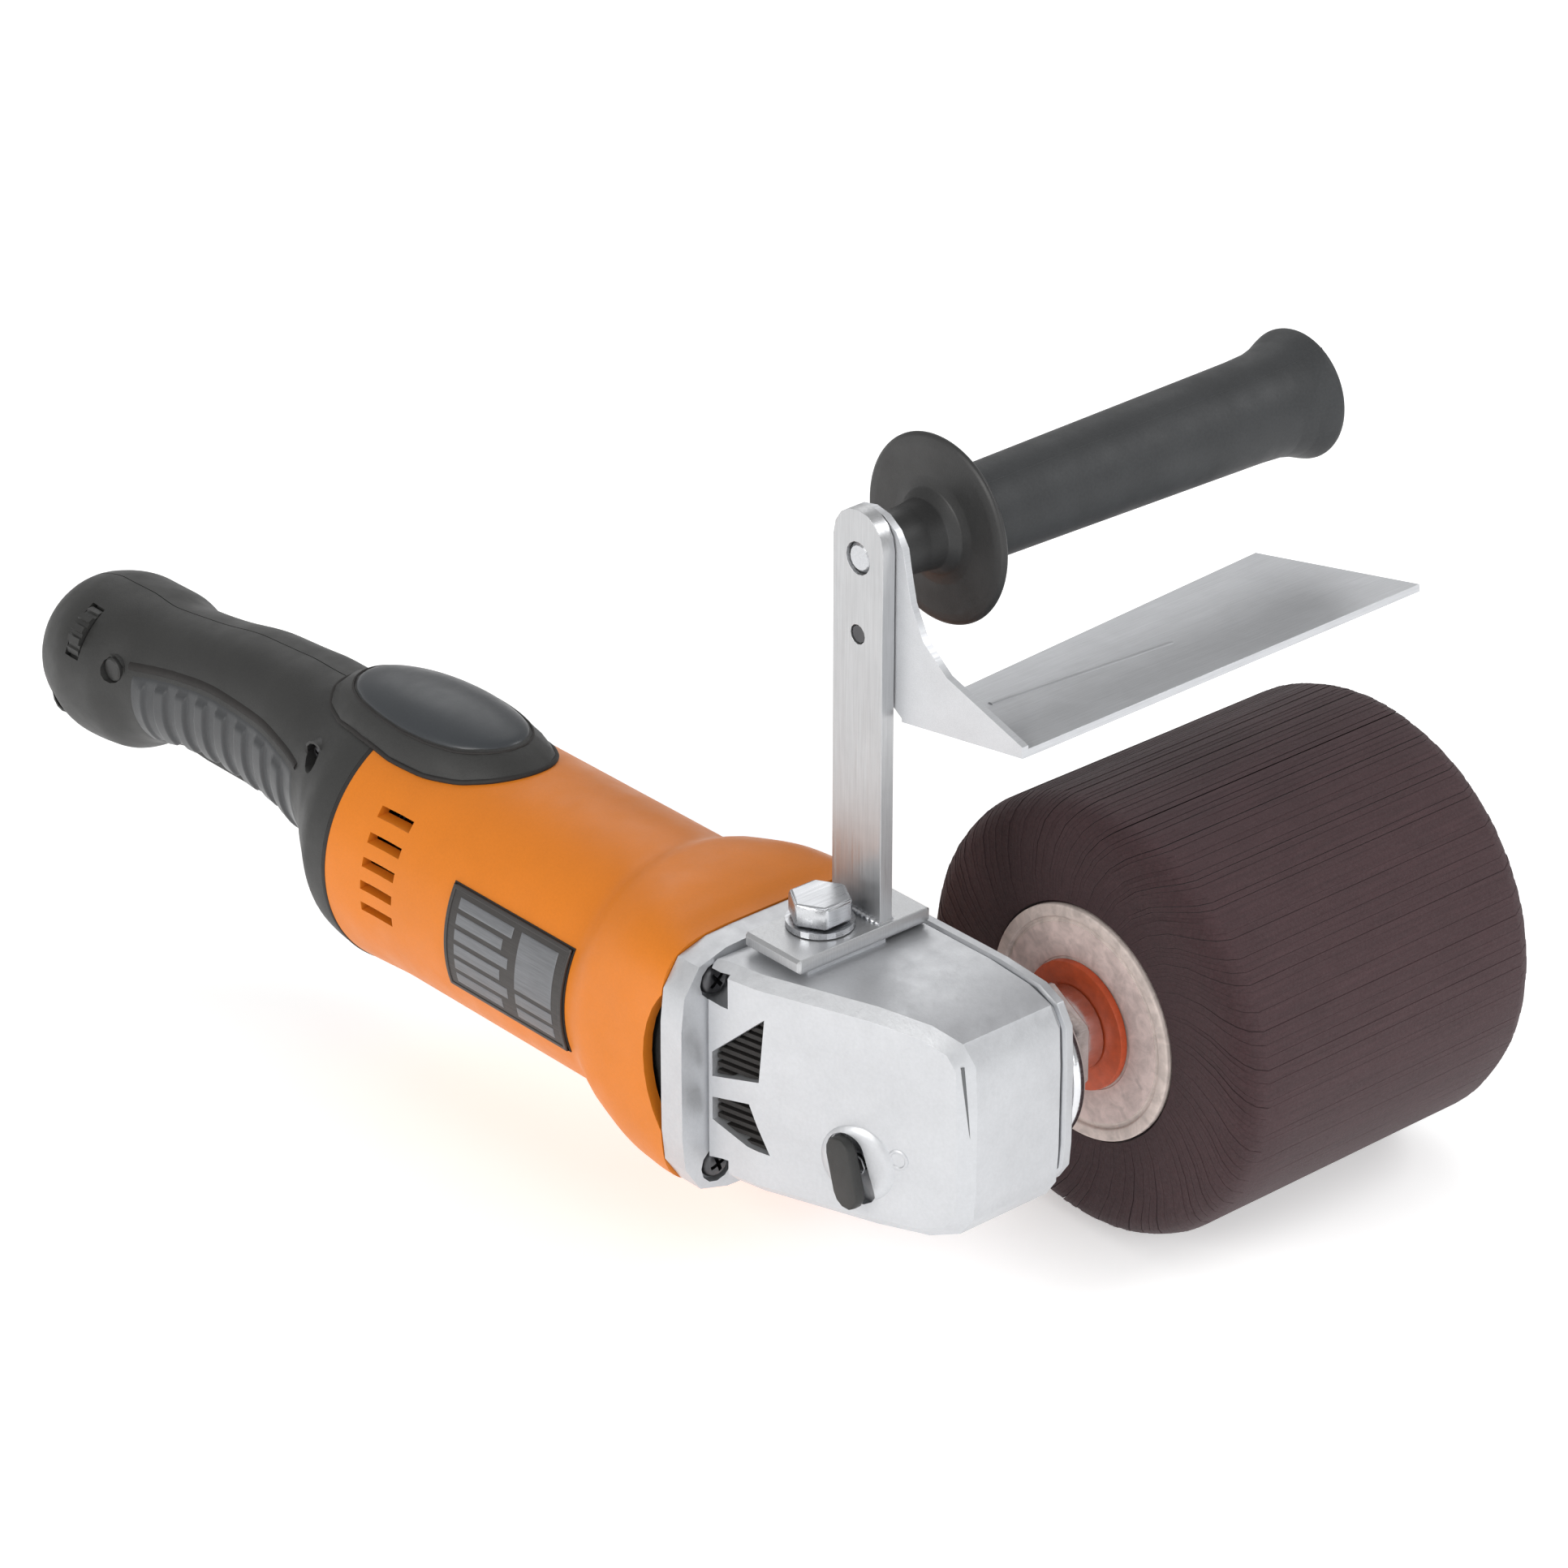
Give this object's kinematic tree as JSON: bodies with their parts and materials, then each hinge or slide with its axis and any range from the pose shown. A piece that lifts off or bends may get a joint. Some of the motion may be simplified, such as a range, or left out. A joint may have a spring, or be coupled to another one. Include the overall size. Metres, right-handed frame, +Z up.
{
  "type": "angle grinder",
  "caption": "Angle grinder set up as a drum polisher: in-line rear handle, bevel gear head, abrasive flap drum on the spindle, side handle and sheet guard on an upright bracket.",
  "frame": {"origin": "under the middle of the bounding box, on the plane that the drum's lowest line touches", "axes": "+X along the motor axis from the rear handle to the gear head, +Y along the spindle towards the drum, +Z up the handle bracket"},
  "size_m": [0.416, 0.214, 0.2213],
  "materials": {
    "orange_shell": "orange nylon housing, satin sheen",
    "black_shell": "black glass-filled nylon, fine texture",
    "grip_rubber": "soft charcoal grip moulding",
    "cast_alloy": "die-cast, satin",
    "zinc_steel": "zinc-plated steel",
    "dark_steel": "blackened or oiled steel",
    "lamination": "stacked electrical steel",
    "copper_wire": "varnished copper",
    "brass_part": "turned or folded brass",
    "carbon": "carbon brush",
    "abrasive": "resin-bonded abrasive cloth leaves",
    "core_board": "pressed fibre board",
    "red_washer": "orange-red lacquer",
    "data_plate": "grey anodised, blank"
  },
  "bodies": {
    "root": {"motor_housing": "orange_shell", "gear_housing": "cast_alloy", "spindle_cover": "cast_alloy", "gear_housing_screw_1": "dark_steel", "gear_housing_screw_2": "dark_steel", "gear_housing_screw_3": "dark_steel", "gear_housing_screw_4": "dark_steel", "spindle_bearing": "zinc_steel", "spindle_bush": "brass_part", "spindle_lock_spring": "zinc_steel", "fan_baffle": "black_shell", "front_armature_bearing": "zinc_steel", "rear_armature_bearing": "zinc_steel", "rear_bearing_plate": "black_shell", "stator_core": "lamination", "field_coils": "copper_wire", "brush_holder_left": "brass_part", "brush_holder_right": "brass_part", "carbon_brush_left": "carbon", "carbon_brush_right": "carbon", "rear_handle_left": "black_shell", "rear_handle_right": "black_shell", "top_panel": "black_shell", "rating_plate": "data_plate", "switch_body": "black_shell", "speed_controller": "black_shell", "cord_inlet": "grip_rubber", "trigger_pin": "zinc_steel", "trigger_spring": "zinc_steel", "handle_bracket": "zinc_steel", "bracket_shim": "grip_rubber", "bracket_bolt": "zinc_steel", "bracket_washer": "zinc_steel", "guard_plate": "zinc_steel", "guard_screw": "dark_steel", "side_handle_stud": "zinc_steel", "side_handle_grip": "grip_rubber"},
    "spindle_assembly": {"spindle": "zinc_steel", "ring_gear": "dark_steel", "gear_retaining_ring": "dark_steel", "inner_flange": "zinc_steel", "drive_nut": "zinc_steel", "inner_washer": "red_washer", "near_core_flange": "core_board", "far_core_flange": "core_board", "drum_core": "core_board", "outer_washer": "zinc_steel", "clamp_nut": "zinc_steel", "abrasive_flaps": "abrasive"},
    "armature": {"armature_shaft": "zinc_steel", "rotor_core": "lamination", "armature_windings": "copper_wire", "commutator": "copper_wire", "cooling_fan": "black_shell", "pinion": "dark_steel", "pinion_nut": "zinc_steel"},
    "trigger": {"trigger": "black_shell"},
    "lock_on": {"lock_on_button": "black_shell"},
    "spindle_lock": {"spindle_lock_button": "black_shell"},
    "dial": {"speed_dial": "black_shell"}
  },
  "joints": [
    {"name": "spindle_spin", "type": "hinge", "parent": "root", "child": "spindle_assembly", "pos_m": [0.148, -0.069, 0.06], "axis": [0, 1, 0], "continuous": true},
    {"name": "armature_spin", "type": "hinge", "parent": "root", "child": "armature", "pos_m": [0.148, -0.069, 0.06], "axis": [1, 0, 0], "continuous": true},
    {"name": "trigger_squeeze", "type": "hinge", "parent": "root", "child": "trigger", "pos_m": [-0.149, -0.069, 0.0555], "axis": [0, -1, 0], "range_deg": [0, 5.5], "stiffness_Nm_per_rad": 0.6, "springref_deg": -5.73, "deforming": ["trigger_spring"]},
    {"name": "lock_on_press", "type": "slide", "parent": "root", "child": "lock_on", "axis": [0, -1, 0], "range_m": [0, 0.0025], "stiffness_N_per_m": 300, "springref_m": -0.002},
    {"name": "spindle_lock_press", "type": "slide", "parent": "root", "child": "spindle_lock", "axis": [0, 1, 0], "range_m": [0, 0.0025], "stiffness_N_per_m": 400, "springref_m": -0.003, "deforming": ["spindle_lock_spring"]},
    {"name": "speed_dial_turn", "type": "hinge", "parent": "root", "child": "dial", "pos_m": [-0.177, -0.082, 0.0724], "axis": [1, 0, 0], "range_deg": [-130, 130]}
  ],
  "couplings": [
    {"joint": "armature_spin", "follows": "spindle_spin", "ratio": 3}
  ]
}
